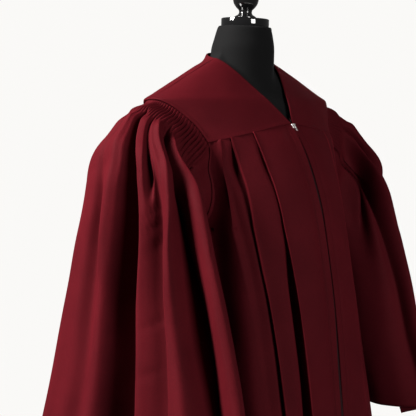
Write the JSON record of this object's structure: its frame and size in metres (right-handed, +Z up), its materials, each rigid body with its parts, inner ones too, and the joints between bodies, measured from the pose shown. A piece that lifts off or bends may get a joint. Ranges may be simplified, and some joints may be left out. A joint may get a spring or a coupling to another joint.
{
  "type": "graduation gown on dress form",
  "caption": "Long open-sleeved academic gown with a V-neck yoke, pleated sleeve heads and a front zip, worn by a limbless dress form on a pole stand.",
  "frame": {"origin": "on the floor under the middle of the stand's pole", "axes": "+Z up along the pole, -Y out of the gown's front, +X to the wearer's left"},
  "size_m": [0.7686, 0.5896, 1.5827],
  "materials": {
    "burgundy_cloth": "matte, dense plain weave with a faint satin sheen",
    "zip_tape_cloth": "matte woven tape",
    "nickel": "bright nickel plate",
    "black_jersey": "matte stretched jersey",
    "black_gloss": "high gloss lacquer",
    "black_steel": "semi-gloss powder coat"
  },
  "bodies": {
    "gown_on_form": {"yoke_front_left": "burgundy_cloth", "yoke_front_right": "burgundy_cloth", "yoke_back": "burgundy_cloth", "front_left": "burgundy_cloth", "front_right": "burgundy_cloth", "back": "burgundy_cloth", "sleeve_left": "burgundy_cloth", "sleeve_right": "burgundy_cloth", "zip_tape_left": "zip_tape_cloth", "zip_tape_right": "zip_tape_cloth", "zip_slider": "nickel", "zip_top_stop_left": "nickel", "zip_top_stop_right": "nickel", "zip_bottom_stop": "nickel", "form_body": "black_jersey", "neck_cap": "black_gloss", "finial": "black_gloss", "pole": "black_steel", "base": "black_steel"},
    "pull": {"zip_pull": "nickel"}
  },
  "joints": [
    {"name": "pull_swing", "type": "hinge", "parent": "gown_on_form", "child": "pull", "pos_m": [0, -0.10883, 1.31367], "axis": [-1, 0, 0], "range_deg": [0, 150]}
  ]
}
